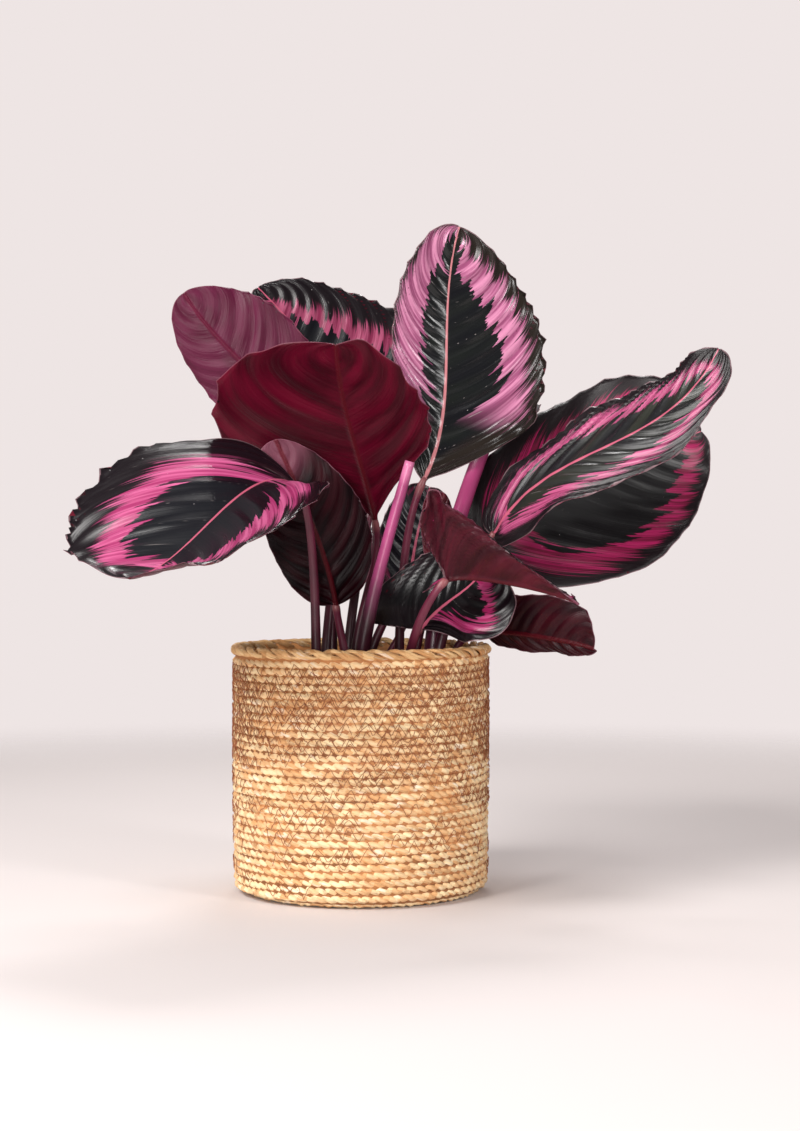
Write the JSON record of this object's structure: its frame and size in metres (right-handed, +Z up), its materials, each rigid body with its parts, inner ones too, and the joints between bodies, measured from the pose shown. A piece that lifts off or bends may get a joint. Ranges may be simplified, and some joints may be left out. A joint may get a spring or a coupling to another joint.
{
  "type": "potted plant",
  "caption": "Potted calathea with broad dark oval leaves banded in pink, wine-red undersides and slim stalks, standing in a round coiled rush basket",
  "frame": {"origin": "centre of the basket's flat base, on the surface that it stands on", "axes": "+Z up the plant, -Y towards the viewer, +X to the viewer's right"},
  "size_m": [0.4126, 0.4208, 0.4397],
  "materials": {
    "leaf_dark": "glossy leaf, upper side near black green with a pink band",
    "leaf_wine": "satin leaf, underside wine red",
    "stalk": "satin reddish leaf stalk",
    "cut_stalk": "satin pink stalk",
    "soil": "moist peat and bark potting soil",
    "pot_plastic": "plain black nursery pot",
    "rush": "twisted rush rope, coiled",
    "thread": "thin brown sewing fibre"
  },
  "bodies": {
    "root": {"basket": "rush", "blade_back_centre": "leaf_dark", "blade_centre_wine": "leaf_wine", "blade_front_low": "leaf_dark", "blade_front_right_folded": "leaf_wine", "blade_inner_bud": "leaf_wine", "blade_inner_dark": "leaf_wine", "blade_inner_small": "leaf_dark", "blade_left_back": "leaf_wine", "blade_left_spreading": "leaf_dark", "blade_rear_high": "leaf_dark", "blade_rear_left": "leaf_dark", "blade_rear_low": "leaf_dark", "blade_rear_right": "leaf_dark", "blade_right_long": "leaf_dark", "blade_right_round": "leaf_dark", "blade_rim_right": "leaf_wine", "blade_upright_tall": "leaf_dark", "cut_stalk": "cut_stalk", "grow_pot": "pot_plastic", "petiole_back_centre": "stalk", "petiole_centre_wine": "stalk", "petiole_front_low": "stalk", "petiole_front_right_folded": "stalk", "petiole_inner_bud": "stalk", "petiole_inner_dark": "stalk", "petiole_inner_small": "stalk", "petiole_left_back": "stalk", "petiole_left_spreading": "stalk", "petiole_rear_high": "stalk", "petiole_rear_left": "stalk", "petiole_rear_low": "stalk", "petiole_rear_right": "stalk", "petiole_right_long": "stalk", "petiole_right_round": "stalk", "petiole_rim_right": "stalk", "petiole_upright_tall": "stalk", "soil": "soil"}
  },
  "joints": []
}
